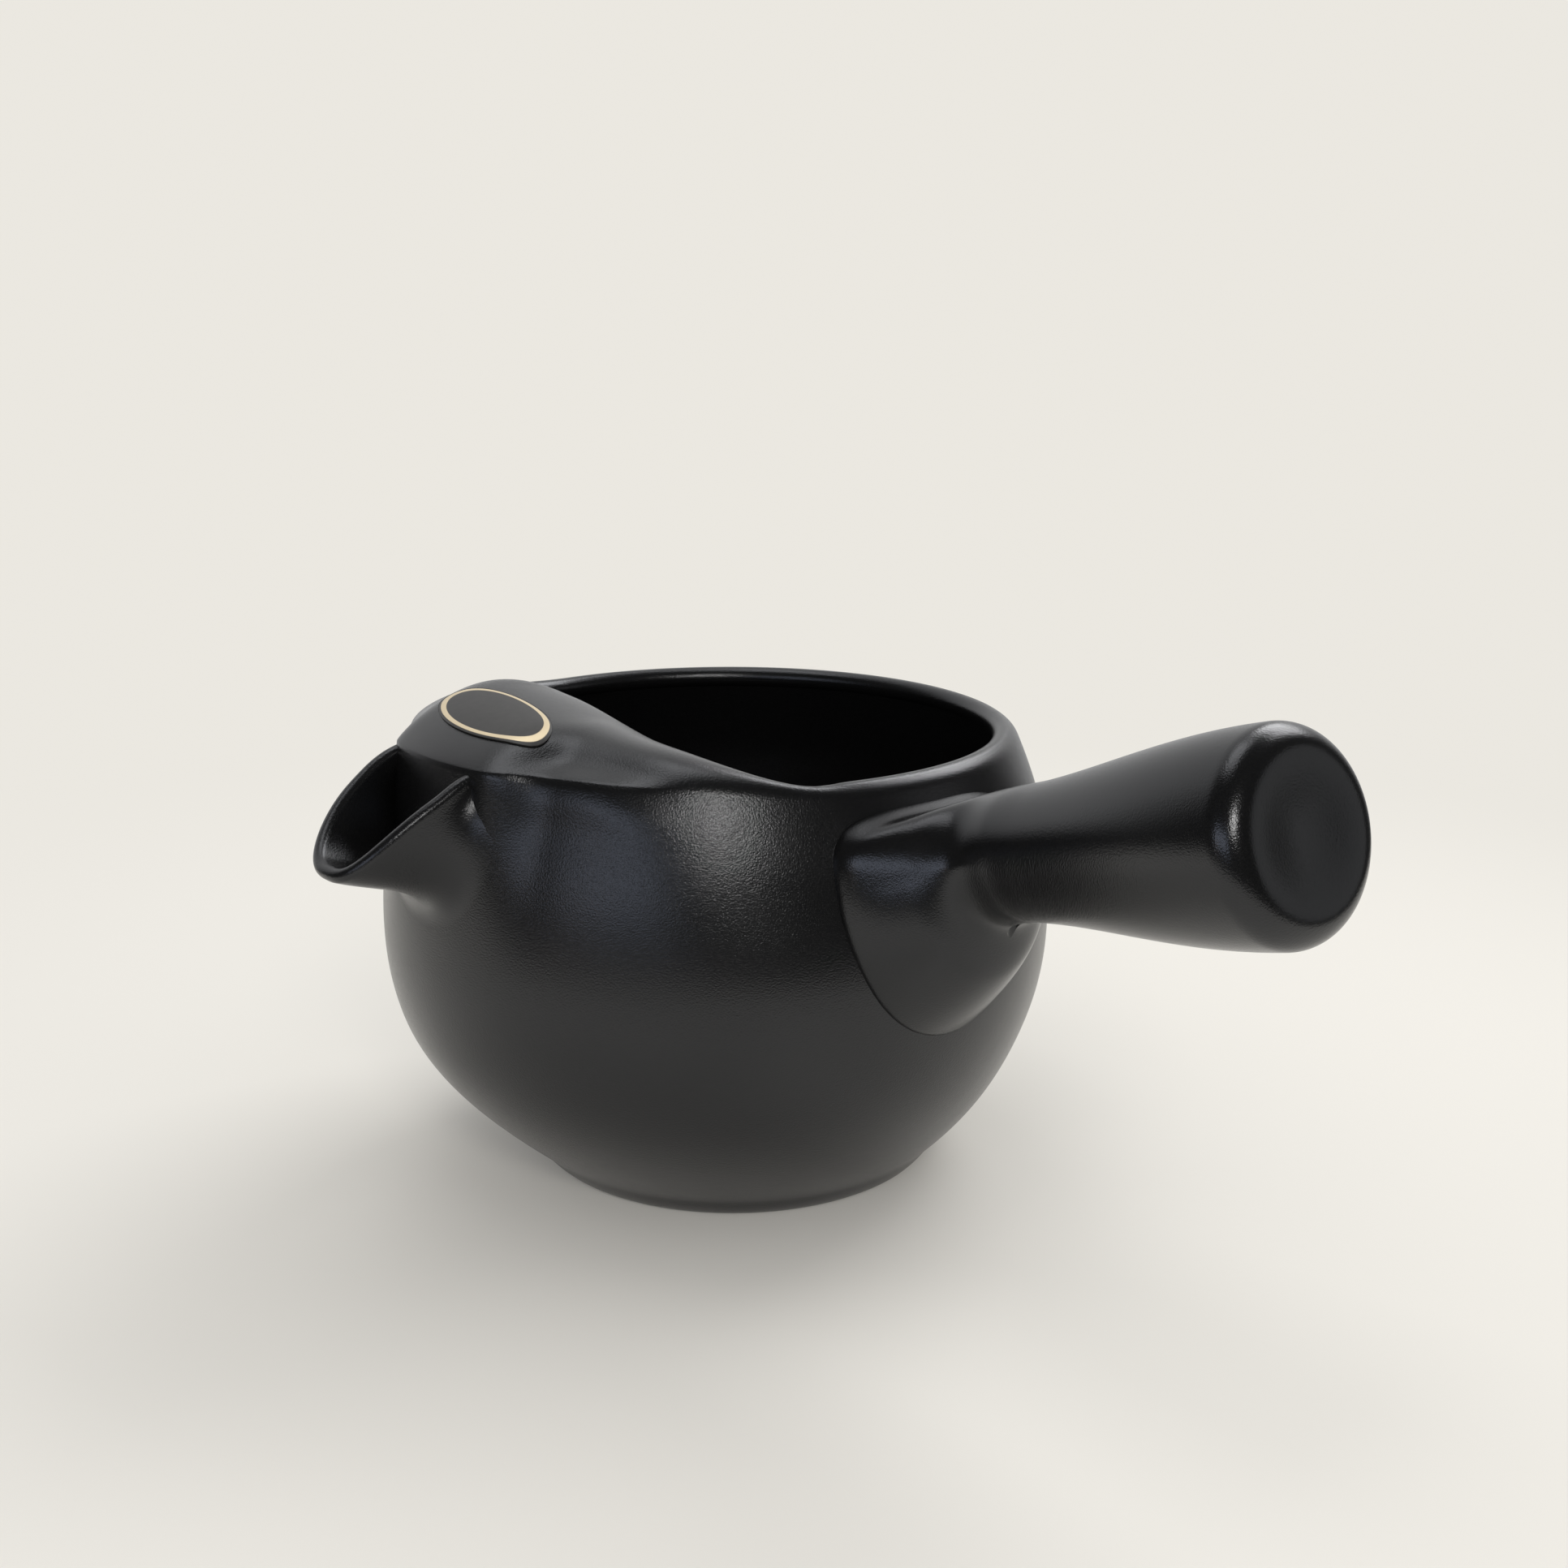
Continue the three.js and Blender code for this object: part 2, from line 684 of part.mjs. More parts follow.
// Strainer: a pierced dome over the passage, its skirt trimmed to the bowl's inside
function strainerGeometry() {
  const sphere = (strainerRadius ** 2 + strainerRise ** 2) / (2 * strainerRise);
  const profile = [];
  const steps = 6;
  for (let step = 0; step <= steps; step += 1) {
    const radius = (step / steps) * strainerRadius;
    profile.push(new THREE.Vector2(radius, strainerRise - sphere + Math.sqrt(sphere ** 2 - radius ** 2)));
  }
  profile.push(new THREE.Vector2(strainerRadius, -strainerSkirt));
  profile.push(new THREE.Vector2(strainerRadius - strainerThickness, -strainerSkirt));
  for (let step = steps; step >= 0; step -= 1) {
    const radius = (step / steps) * (strainerRadius - strainerThickness);
    const height = strainerRise - sphere + Math.sqrt((sphere - strainerThickness) ** 2 - radius ** 2);
    profile.push(new THREE.Vector2(radius, height));
  }
  let dome = toSolid(new THREE.LatheGeometry(profile.reverse(), 32));
  const rows = Math.floor((strainerRadius - strainerThickness - strainerHole) / strainerPitch);
  for (let row = 0; row <= rows; row += 1) {
    const count = row === 0 ? 1 : row * 6;
    for (let index = 0; index < count; index += 1) {
      const turn = (index / count) * 2 * Math.PI;
      const hole = new THREE.CylinderGeometry(strainerHole / 2, strainerHole / 2, strainerDrill, 7);
      const out = row * strainerPitch;
      hole.translate(out * Math.cos(turn), strainerRise, out * Math.sin(turn));
      dome = dome.subtract(toSolid(hole));
    }
  }
  const placed = toGeometry(dome);
  placed.rotateZ(-Math.PI / 2);
  const height = passageTop - passageHeight / 2;
  const reach = bowlRadius(0, height) - wall - strainerStandoff;
  placed.translate(-reach, 0, height);
  return toGeometry(toSolid(placed).intersect(bowlBlock(-wall - seam, cavityShares)));
}

// The hood's outside above a point of the plan
function hoodPoint(x, y, lift) {
  const turn = Math.atan2(y, -x);
  let low = shoulderEnd;
  let high = 1;
  for (let pass = 0; pass < 24; pass += 1) {
    const middle = (low + high) / 2;
    if (meridianPoint(turn, middle).x > Math.hypot(x, y)) {
      low = middle;
    } else {
      high = middle;
    }
  }
  return bowlPoint(turn, low).addScaledVector(surfaceNormal(bowlPoint, turn, low), lift);
}

// Oval sticker bent over the hood
function labelGeometry() {
  const sides = 32;
  const ringAt = (share, lift) => {
    const ring = [];
    for (let step = 0; step < sides; step += 1) {
      const turn = (step / sides) * 2 * Math.PI;
      const point = new THREE.Vector2(labelWidth * Math.cos(turn), labelLength * Math.sin(turn));
      point.multiplyScalar(share / 2).rotateAround(new THREE.Vector2(), labelSkew * degrees);
      ring.push(hoodPoint(point.x - labelReach, point.y + labelSideways, lift));
    }
    return ring;
  };
  const top = [0.3, 0.65, 1].map((share) => ringAt(share, seam + labelThickness));
  const bottom = [1, 0.65, 0.3].map((share) => ringAt(share, seam));
  return toGeometry(toSolid(closedLoft([...top, ...bottom])));
}

function makeMesh(name, geometry, colour, roughness) {
  const material = new THREE.MeshStandardMaterial({ color: colour, roughness, metalness: 0 });
  const mesh = new THREE.Mesh(geometry, material);
  mesh.name = name;
  return mesh;
}

const glaze = 0x1b1b1d;
const foil = 0x2b2a2b;
const teapot = new THREE.Group();
teapot.add(makeMesh('pot_body', bowlGeometry(), glaze, 0.42));
teapot.add(makeMesh('spout', spoutGeometry(), glaze, 0.36));
teapot.add(makeMesh('handle', handleGeometry(), glaze, 0.42));
teapot.add(makeMesh('strainer', strainerGeometry(), glaze, 0.5));
teapot.add(makeMesh('label', labelGeometry(), foil, 0.45));

export default teapot;
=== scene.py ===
from math import cos, pi, radians, sin

import bpy
import numpy as np
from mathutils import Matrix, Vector


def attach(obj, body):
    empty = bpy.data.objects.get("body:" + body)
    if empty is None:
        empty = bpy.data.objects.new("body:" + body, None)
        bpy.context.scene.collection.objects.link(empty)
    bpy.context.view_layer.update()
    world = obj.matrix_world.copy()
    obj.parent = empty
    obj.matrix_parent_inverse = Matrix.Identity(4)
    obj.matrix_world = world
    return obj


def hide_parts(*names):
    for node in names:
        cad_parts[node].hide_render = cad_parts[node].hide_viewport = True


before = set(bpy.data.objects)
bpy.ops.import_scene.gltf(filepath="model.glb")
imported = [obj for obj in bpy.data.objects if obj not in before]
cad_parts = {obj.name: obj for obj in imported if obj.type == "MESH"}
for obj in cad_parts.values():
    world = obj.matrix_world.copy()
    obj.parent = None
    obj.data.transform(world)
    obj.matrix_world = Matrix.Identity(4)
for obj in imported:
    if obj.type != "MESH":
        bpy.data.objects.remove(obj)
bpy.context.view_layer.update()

mm = 0.001

# The bowl. Thrown on the wheel from fine clay: a small foot, a full belly and a rim turned in. Its
# shoulder is pulled over the front as a hood with a straight rear edge, and the corners of the
# mouth run back over it as soft cheeks. Like the whole pot it has one dip of black satin glaze.

# Sizes are in millimetres. A turn is the angle round the bowl from the middle of the spout, and is
# below zero on the handle's side, the near one.
foot_radius, foot_top_radius, foot_height, foot_curve = 33.3, 37.2, 4, 0.7
belly_radius, belly_height, belly_fullness = 57.8, 46, 2.3
belly_lean, shoulder_lean = 4.1, 2.5
lean_start, lean_full, lean_ease_end = -4, 32, 64
shoulder_fullness = 1.85
clay_wall = 3.8
floor_thickness, floor_round = 5, 5
rim_radius, rim_height, lip_run = 49.3, 79.2, 4
hood_start, hood_end = radians(35), radians(76)
hood_edge, hood_lift, hood_peak = 28.6, 4.9, radians(25)
hood_near_spread, hood_far_spread = radians(85), radians(62)
hood_crown_rise, hood_crown_tilt, far_crown_rise, hood_crown_place = 8, 4, -0.3, 0.61
far_fall_start, far_fall_end = radians(15), radians(40)
hood_corner_sharpness = 6
mouth_wall_drop, near_wall_drop, far_wall_drop = 1.8, 7.8, 6.2
front_wall_top, mouth_wall_rise = 78.2, 1.2
mouth_brow_height, near_brow_height, far_brow_height = 79.9, 80.4, 79.5
mouth_end, cheek_full = radians(11), radians(24)
cheek_start, cheek_fade, cheek_end = radians(8), radians(26), radians(50)
cheek_height, cheek_place, cheek_fall, cheek_spread = 1.07, -0.037, 0.135, 0.152
gutter_depth, gutter_place, gutter_spread = 1.17, 0.36, 0.19

# Where the outside's stretches end, as shares of the way from the foot (0) to the edge of the
# opening (1); where the inside leaves the floor; and the small steps by which slopes are felt.
foot_end, belly_end, shoulder_end = 0.06, 0.4, 0.62
brow_length = 28
inner_start = 0.11
nudge, edge_nudge, never_zero = 0.002, 0.01, 1e-9


def smooth(low, high, value):
    """0 up to low and 1 from high on, with an even S-shaped rise between them"""
    share = np.clip((value - low) / (high - low), 0, 1)
    return share ** 3 * (share * (share * 6 - 15) + 10)


def mix(a, b, share):
    return a + (b - a) * share


def front_share(turn):
    """How far the form is the hooded front (1) rather than the plain rim (0)"""
    return 1 - smooth(hood_start, hood_end, np.abs(turn))


def cheek_share(turn):
    """How far the front has passed from the mouth (0) to the cheeks (1)"""
    return smooth(mouth_end, cheek_full, np.abs(turn))


def brow_start(turn):
    """Height at which the shoulder or the front wall ends and the brow begins"""
    front = front_wall_top + mouth_wall_rise * (1 - cheek_share(turn))
    return mix(rim_height - lip_run, front, front_share(turn))


def lean(height):
    """How far the round sections are moved towards the spout"""
    rise = smooth(lean_start, lean_full, height)
    ease = smooth(belly_height, lean_ease_end, height)
    return belly_lean * rise + (shoulder_lean - belly_lean) * ease


def bowl_radius(turn, height):
    """Radius of the outside from the axis, up to the brow"""
    toward = np.cos(turn)
    below = np.clip((belly_height - height) / (belly_height - foot_height), 0, None)
    lower = belly_radius - (belly_radius - foot_top_radius) * below ** belly_fullness
    above = np.clip((height - belly_height) / (rim_height - belly_height), 0, None)
    curve = above ** shoulder_fullness
    plain = belly_radius - (belly_radius - rim_radius) * curve + lean(height) * toward
    cheek_drop = np.where(turn < 0, near_wall_drop, far_wall_drop)
    drop = mix(mouth_wall_drop, cheek_drop, cheek_share(turn))
    hooded = belly_radius + belly_lean * toward - drop * curve
    upper = mix(plain, hooded, front_share(turn))
    return np.where(height < belly_height, lower + lean(height) * toward, upper)


def bezier(points, t):
    """The curve that leaves the first of four points towards the second and ends in the fourth"""
    a, b, c, d = points
    s = 1 - t
    return s ** 3 * a + 3 * s * s * t * b + 3 * s * t * t * c + t ** 3 * d


def brow(turn, along):
    """Radius and height on the curve from the shoulder over the brow to the edge of the opening"""
    share = front_share(turn)
    away = turn - hood_peak
    spread = np.where(away < 0, hood_near_spread, hood_far_spread)
    lift = 0.5 + 0.5 * np.cos(pi * np.minimum(np.abs(away) / spread, 1))
    edge_z = rim_height + hood_lift * lift - clay_wall / 2 * (1 - share)
    straight = np.maximum(np.cos(turn), never_zero) / hood_edge
    round_rim = rim_radius + shoulder_lean * np.cos(turn)
    power = hood_corner_sharpness
    edge_r = (straight ** power + round_rim ** -float(power)) ** (-1 / power)
    start_z = brow_start(turn)
    start_r = bowl_radius(turn, start_z)
    slope = start_r - bowl_radius(turn, start_z - 1)
    cheek_brow = np.where(turn < 0, near_brow_height, far_brow_height)
    brow_height = mix(mouth_brow_height, cheek_brow, cheek_share(turn))
    rise = mix(lip_run / 3, brow_height - start_z, share)
    brow_r, brow_z = start_r + slope * rise, start_z + rise
    crown_r = mix(mix(edge_r, brow_r, 0.5), mix(edge_r, start_r, hood_crown_place), share)
    far_fall = smooth(far_fall_start, far_fall_end, turn)
    crown_rise = mix(hood_crown_rise + hood_crown_tilt * np.sin(turn), far_crown_rise, far_fall)
    crown_z = mix(mix(edge_z, brow_z, 0.5), edge_z + crown_rise, share)
    return (bezier((start_r, brow_r, crown_r, edge_r), along),
            bezier((start_z, brow_z, crown_z, edge_z), along))


def cheek(turn, along):
    """The ridge that runs back from the near corner of the mouth, and the gutter behind it"""
    show = smooth(cheek_start, cheek_full, -turn) - smooth(cheek_fade, cheek_end, -turn)
    along = along + cheek_fall * smooth(cheek_full, cheek_end, -turn)
    ridge = cheek_height * np.exp(-((along - cheek_place) / cheek_spread) ** 2)
    gutter = gutter_depth * np.exp(-((along - gutter_place) / gutter_spread) ** 2)
    return show * (ridge - gutter)


def meridian(turn, share):
    """Radius and height of the bowl's outside; share runs from the foot (0) to the edge (1)"""
    turn = (turn + pi) % (2 * pi) - pi
    up = np.clip(share / foot_end, 0, 1)
    foot_lean = lean(foot_height) * up * np.cos(turn)
    foot_r = mix(foot_radius, foot_top_radius, up ** foot_curve) + foot_lean
    lower = mix(foot_height, belly_height, (share - foot_end) / (belly_end - foot_end))
    upper = mix(belly_height, brow_start(turn), (share - belly_end) / (shoulder_end - belly_end))
    height = np.where(share < belly_end, lower, upper)
    wall_r = bowl_radius(turn, np.clip(height, foot_height, rim_height))
    wall_r = wall_r + cheek(turn, (height - brow_start(turn)) / brow_length) * (share >= belly_end)
    along = np.clip((share - shoulder_end) / (1 - shoulder_end), 0, 1)
    brow_r, brow_z = brow(turn, along)
    before = brow(turn, np.clip(along - nudge, 0, 1))
    after = brow(turn, np.clip(along + nudge, 0, 1))
    run_r, run_z = after[0] - before[0], after[1] - before[1]
    length = np.hypot(run_r, run_z)
    bump = cheek(turn, along)
    brow_r = brow_r + run_z / length * bump
    brow_z = brow_z - run_r / length * bump
    on_foot, on_wall = share <= foot_end, share <= shoulder_end
    radius = np.where(on_foot, foot_r, np.where(on_wall, wall_r, brow_r))
    z = np.where(on_foot, foot_height * up, np.where(on_wall, height, brow_z))
    return radius, z


def bowl_point(turn, share):
    """A point of the bowl's outside; the spout points to -X and the handle to -Y"""
    radius, z = meridian(turn, share)
    return np.stack([-radius * np.cos(turn), radius * np.sin(turn), z], -1)


def unit(vectors):
    return vectors / np.linalg.norm(vectors, axis=-1, keepdims=True)


def normal_of(surface, u, v):
    """The way out of a surface at its point u, v"""
    along_u = surface(u + nudge, v) - surface(u - nudge, v)
    along_v = surface(u, np.minimum(v + nudge, 1)) - surface(u, np.maximum(v - nudge, 0))
    return unit(np.cross(along_v, along_u))


def inner_point(turn, share):
    """The point of the bowl's inside that lies behind a point of its outside"""
    return bowl_point(turn, share) - clay_wall * normal_of(bowl_point, turn, share)


def rounded_lip(surface, u, inner_u, share, wall, back):
    """Half a turn over a wall's edge, by share from the outside (0) to the inside (1)"""
    last = np.ones_like(share)
    edge = surface(u, last)
    normal = normal_of(surface, inner_u, last)
    onward = unit(edge - surface(u, last - back))
    swing = pi * share[:, None]
    return edge + normal * (np.cos(swing) - 1) * wall / 2 + onward * np.sin(swing) * wall / 2


def sheet(name, across, along):
    """A flat grid, one square for each step across and along, that is then laid on a form"""
    bpy.ops.object.select_all(action='DESELECT')
    bpy.ops.mesh.primitive_grid_add(x_subdivisions=across, y_subdivisions=along, size=1)
    piece = bpy.context.object
    piece.name = name
    return piece


def lay(piece, form):
    """Moves each point of the grid, which is 1 wide, to its place on a form in millimetres"""
    flat = np.empty(len(piece.data.vertices) * 3)
    piece.data.vertices.foreach_get("co", flat)
    shares = flat.reshape(-1, 3) + 0.5
    placed = form(shares[:, 0], shares[:, 1]) * mm
    piece.data.vertices.foreach_set("co", placed.ravel())
    piece.data.update()


def take_up(piece):
    """Selects a piece alone and makes it the active one"""
    bpy.ops.object.select_all(action='DESELECT')
    piece.select_set(True)
    bpy.context.view_layer.objects.active = piece


def close_up(piece, crease, weld=0.02):
    """Welds the seam and poles, turns the faces outwards and smooths all but edges over a crease"""
    take_up(piece)
    bpy.ops.object.mode_set(mode='EDIT')
    bpy.ops.mesh.select_all(action='SELECT')
    bpy.ops.mesh.remove_doubles(threshold=weld * mm)
    bpy.ops.mesh.select_all(action='DESELECT')
    bpy.ops.mesh.select_non_manifold()
    bpy.ops.mesh.fill_holes(sides=0)
    bpy.ops.mesh.select_all(action='SELECT')
    bpy.ops.mesh.normals_make_consistent(inside=False)
    bpy.ops.object.mode_set(mode='OBJECT')
    bpy.ops.object.shade_smooth_by_angle(angle=radians(crease))


def cut_away(piece, cutter, crease):
    """Cuts the shape of a cutter, which was just added, out of a piece and smooths it again"""
    bpy.ops.object.transform_apply(location=True, rotation=True, scale=True)
    cut = piece.modifiers.new("cut", 'BOOLEAN')
    cut.object = cutter
    cut.solver = 'EXACT'
    take_up(piece)
    bpy.ops.object.modifier_apply(modifier=cut.name)
    bpy.data.objects.remove(cutter, do_unlink=True)
    bpy.ops.object.shade_smooth_by_angle(angle=radians(crease))


def bowl_form(u, v):
    """Round the axis by u; by v from under the foot up the outside, over the lip and down inside"""
    turn = 2 * pi * u - pi
    under_end, outside_end, lip_end, inside_end = 0.04, 0.52, 0.56, 0.94
    share_out = np.clip((v - under_end) / (outside_end - under_end), 0, 1)
    share_in = mix(1, inner_start, np.clip((v - lip_end) / (inside_end - lip_end), 0, 1))
    outside = bowl_point(turn, share_out)
    inside = inner_point(turn, share_in)
    share_lip = np.clip((v - outside_end) / (lip_end - outside_end), 0, 1)
    lip = rounded_lip(bowl_point, turn, turn, share_lip, clay_wall, edge_nudge)
    reach = foot_radius * np.clip(v / under_end, 0, 1)
    under = np.stack([-reach * np.cos(turn), reach * np.sin(turn), np.zeros_like(v)], -1)
    inner_foot = inner_point(turn, np.full_like(v, inner_start))
    left = np.clip((1 - v) / (1 - inside_end), 0, 1)[:, None]
    floor_z = floor_thickness + (inner_foot[:, 2:] - floor_thickness) * left ** floor_round
    floor = np.concatenate([inner_foot[:, :2] * left, floor_z], 1)
    w = v[:, None]
    form = np.where(w < under_end, under, np.where(w < outside_end, outside, lip))
    return np.where(w < lip_end, form, np.where(w < inside_end, inside, floor))


bowl_crease = 50
bowl = sheet("bowl", across=256, along=200)
lay(bowl, bowl_form)
close_up(bowl, bowl_crease)

# The pour passage: an oval window cut through the wall behind the spout while the clay is soft.
# The cutter is a rod 1 mm across, stretched to the oval.
passage_height, passage_width, passage_top = 13, 20, 69.3
passage_place, passage_depth = -58, 30
bpy.ops.object.select_all(action='DESELECT')
bpy.ops.mesh.primitive_cylinder_add(
    vertices=64, radius=0.5 * mm, depth=passage_depth * mm,
    location=(passage_place * mm, 0, (passage_top - passage_height / 2) * mm),
    rotation=(0, pi / 2, 0), scale=(passage_height, passage_width, 1))
cut_away(bowl, bpy.context.object, bowl_crease)

# The glaze: black and satin, with a fine tight speckle and a slight change of gloss from place to
# place, as it ran and pooled in the kiln. The colours of its specks are shares of its tone.
glaze_tone, glaze_reflection, glaze_tint = 0.004, 0.56, (0.93, 0.95, 1, 1)
dark_speck, light_speck = (0.8, 0.8, 0.84), (1.5, 1.48, 1.45)
dark_end, light_start = 0.35, 0.75
speck_scale, speck_detail, speck_height = 3800, 2, 0.1
pool_scale, pool_detail, pool_change = 60, 4, 0.05


def glaze_material(name, roughness, speckle):
    """The glaze with a roughness and a strength of speckle, both from 0 to 1"""
    material = bpy.data.materials.new(name)
    material.use_nodes = True
    nodes, links = material.node_tree.nodes, material.node_tree.links
    shader = nodes["Principled BSDF"]
    shader.inputs["Specular IOR Level"].default_value = glaze_reflection
    shader.inputs["Specular Tint"].default_value = glaze_tint
    place = nodes.new("ShaderNodeTexCoord")
    specks = nodes.new("ShaderNodeTexNoise")
    specks.inputs["Scale"].default_value = speck_scale
    specks.inputs["Detail"].default_value = speck_detail
    links.new(place.outputs["Object"], specks.inputs["Vector"])
    pools = nodes.new("ShaderNodeTexNoise")
    pools.inputs["Scale"].default_value = pool_scale
    pools.inputs["Detail"].default_value = pool_detail
    links.new(place.outputs["Object"], pools.inputs["Vector"])
    colour = nodes.new("ShaderNodeValToRGB")
    stops = colour.color_ramp.elements
    for stop, position, speck in zip(stops, (dark_end, light_start), (dark_speck, light_speck)):
        stop.position = position
        stop.color = (*(glaze_tone * part for part in speck), 1)
    links.new(specks.outputs["Fac"], colour.inputs["Fac"])
    links.new(colour.outputs["Color"], shader.inputs["Base Color"])
    rough = nodes.new("ShaderNodeMapRange")
    rough.inputs["To Min"].default_value = roughness - pool_change
    rough.inputs["To Max"].default_value = roughness + pool_change
    links.new(pools.outputs["Fac"], rough.inputs["Value"])
    links.new(rough.outputs["Result"], shader.inputs["Roughness"])
    bump = nodes.new("ShaderNodeBump")
    bump.inputs["Strength"].default_value = speckle
    bump.inputs["Distance"].default_value = speck_height * mm
    links.new(specks.outputs["Fac"], bump.inputs["Height"])
    links.new(bump.outputs["Normal"], shader.inputs["Normal"])
    return material


def coat(piece, material):
    """Gives a piece this one material"""
    piece.data.materials.clear()
    piece.data.materials.append(material)


glaze = glaze_material("black_satin_glaze", roughness=0.24, speckle=0.5)
coat(bowl, glaze)
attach(bowl, "root")
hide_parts("pot_body")


# The spout. A sheet of the same clay, bent to a duck's bill and luted over the passage; its root is
# smoothed into the bowl with a wet finger, and its lip is rounded with a damp cloth.
spout_wall = 2.3
mouth_reach, mouth_height = 58, 78.2
far_half_width, near_half_width = 13.5, 10.3
far_fullness, near_fullness = 2.4, 3
mouth_corner, corner_rise, corner_setback = radians(90), 1.2, 2.5
corner_rise_start, corner_setback_start = radians(50), radians(55)
bill_length, bill_tip_height, bill_slope = 21, 64.3, 0.143
root_top, root_depth, root_spread, root_fullness = 76.5, 24, 7.5, 2.2
root_step, root_drop = 0.3, 0.4
root_run_middle, root_run_corner = 7, 3.8
lip_run_middle, lip_run_corner = 8.5, 3
lip_way_middle, lip_way_corner = np.array([-1, 0, 0.35]), np.array([-0.5, 0, 0.85])
out_middle, out_down = np.array([-0.33, 0, -0.94]), np.array([0, 0, 0.3])
out_side = np.array([0, 0.95, 0])
side_fullness = 1.5
corner_margin = 0.012
spout_edge_nudge = 0.03
settling_rounds = 8


def mouth_half_width(angle):
    """Half the mouth's width, on the near side (below zero) or the far one"""
    return np.where(angle < 0, near_half_width, far_half_width)


def lip_line(angle):
    """The top of the lip, from the near corner of the mouth (-90 degrees) round to the far one"""
    c, s = np.cos(angle), np.abs(np.sin(angle))
    n = np.where(angle < 0, near_fullness, far_fullness)
    reach = ((c / bill_length) ** n + (s / mouth_half_width(angle)) ** n) ** (-1 / n)
    setback = smooth(corner_setback_start, mouth_corner, np.abs(angle)) ** 2
    out = reach * c - corner_setback * setback
    fall = (mouth_height - bill_tip_height - bill_slope * bill_length) / bill_length ** 2
    rise = corner_rise * smooth(corner_rise_start, mouth_corner, np.abs(angle))
    return np.stack([-mouth_reach - out, reach * np.sin(angle),
                     mouth_height - bill_slope * out - fall * out ** 2 + rise], -1)


def bowl_front(y, height):
    """The point of the bowl's front at a distance y to the side"""
    x = np.full_like(y, belly_radius)
    for _ in range(settling_rounds):
        x = np.sqrt(bowl_radius(np.arctan2(y, x), height) ** 2 - y ** 2)
    return np.stack([-x, y, height], -1)


def root_line(angle, step):
    """Where the spout's outside begins on the bowl, moved on towards the lip by a step"""
    c, s = np.cos(angle), np.abs(np.sin(angle))
    n = root_fullness
    half_width = mouth_half_width(angle) + root_spread
    reach = ((c / root_depth) ** n + (s / half_width) ** n) ** (-1 / n) - step
    return bowl_front(reach * np.sin(angle), root_top - reach * c + step * root_drop * s)


def bill_point(u, v):
    """The spout's outside: u from corner to corner, v from the root on the bowl to the lip"""
    angle = (np.clip(u, 0, 1) - 0.5) * pi
    side = np.abs(np.sin(angle))[:, None] ** side_fullness
    sign = np.sign(angle)[:, None]
    low = root_line(angle, 0)
    leave = unit(root_line(angle, root_step) - low)
    arrive = unit(mix(lip_way_middle, lip_way_corner, side))
    outward = unit(mix(out_middle, out_side * sign - out_down, side))
    high = lip_line(angle) + (outward - arrive) * spout_wall / 2
    first = low + leave * mix(root_run_middle, root_run_corner, side)
    second = high - arrive * mix(lip_run_middle, lip_run_corner, side)
    return bezier((low, first, second, high), v[:, None])


def bill_form(u, v):
    """A closed section by v: up the outside, over the rounded lip, and down the inside"""
    outside_end, lip_end = 0.46, 0.56
    out = np.clip(v / outside_end, 0, 1)
    back = np.clip((1 - v) / (1 - lip_end), 0, 1)
    inner_u = np.clip(u, corner_margin, 1 - corner_margin)
    outside = bill_point(u, out)
    inside = bill_point(u, back) - spout_wall * normal_of(bill_point, inner_u, back)
    share_lip = np.clip((v - outside_end) / (lip_end - outside_end), 0, 1)
    lip = rounded_lip(bill_point, u, inner_u, share_lip, spout_wall, spout_edge_nudge)
    w = v[:, None]
    return np.where(w < outside_end, outside, np.where(w < lip_end, lip, inside))


spout_crease = 60
spout = sheet("duckbill_spout", across=120, along=110)
lay(spout, bill_form)
close_up(spout, spout_crease)
coat(spout, glaze)
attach(spout, "root")
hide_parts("spout")


# The handle. Thrown hollow on its own, closed with a slightly dished end, and luted to the bowl at
# a right angle to the spout; its root is pressed out to a leaf-shaped pad with a clear seam.
handle_tilt = radians(15.5)
neck_reach, neck_height, neck_radius, neck_setback = 79, 71.2, 10.3, 6
grip_length, grip_radius, grip_swell = 46, 15.2, 1.6
end_round, end_dish = 4.5, 1
throat_setback, throat_radius, throat_dip = 12.5, 11, 1.3
pad_centre, pad_proud, pad_top_proud, pad_round = -1.5, 1.8, 4, 1.6
pad_half_width, pad_top, pad_bottom, pad_widest = 19, 73.5, 37, 62
pad_lobe, pad_squareness = 3, 3.5
pad_edge, pad_bedding = 0.2, 1.2
smallest_gap = 1e-4
handle_axis = np.array([0, -cos(handle_tilt), sin(handle_tilt)])
handle_up = np.array([0, sin(handle_tilt), cos(handle_tilt)])
handle_side = np.array([1.0, 0, 0])
neck_centre = np.array([0, -neck_reach, neck_height])


def grip_point(along, radius, turn):
    """A point round the handle's axis, from its neck outwards; its turn is 0 at the top"""
    along, radius = np.broadcast_to(along, turn.shape), np.broadcast_to(radius, turn.shape)
    return (neck_centre + along[:, None] * handle_axis
            + (radius * np.cos(turn))[:, None] * handle_up
            + (radius * np.sin(turn))[:, None] * handle_side)


def grip_radius_at(along):
    """The grip swells from the neck to the round of its end"""
    share = np.clip((along + neck_setback) / (grip_length - end_round + neck_setback), 0, 1)
    return neck_radius + (grip_radius - neck_radius) * np.sin(share * pi / 2) ** grip_swell


def bowl_side(x, height):
    """The point of the bowl's side under the handle at a distance x from the middle"""
    y = np.full_like(x, belly_radius)
    for _ in range(settling_rounds):
        y = np.sqrt(bowl_radius(np.arctan2(y, -x), height) ** 2 - x ** 2)
    return np.stack([x, -y, height], -1)


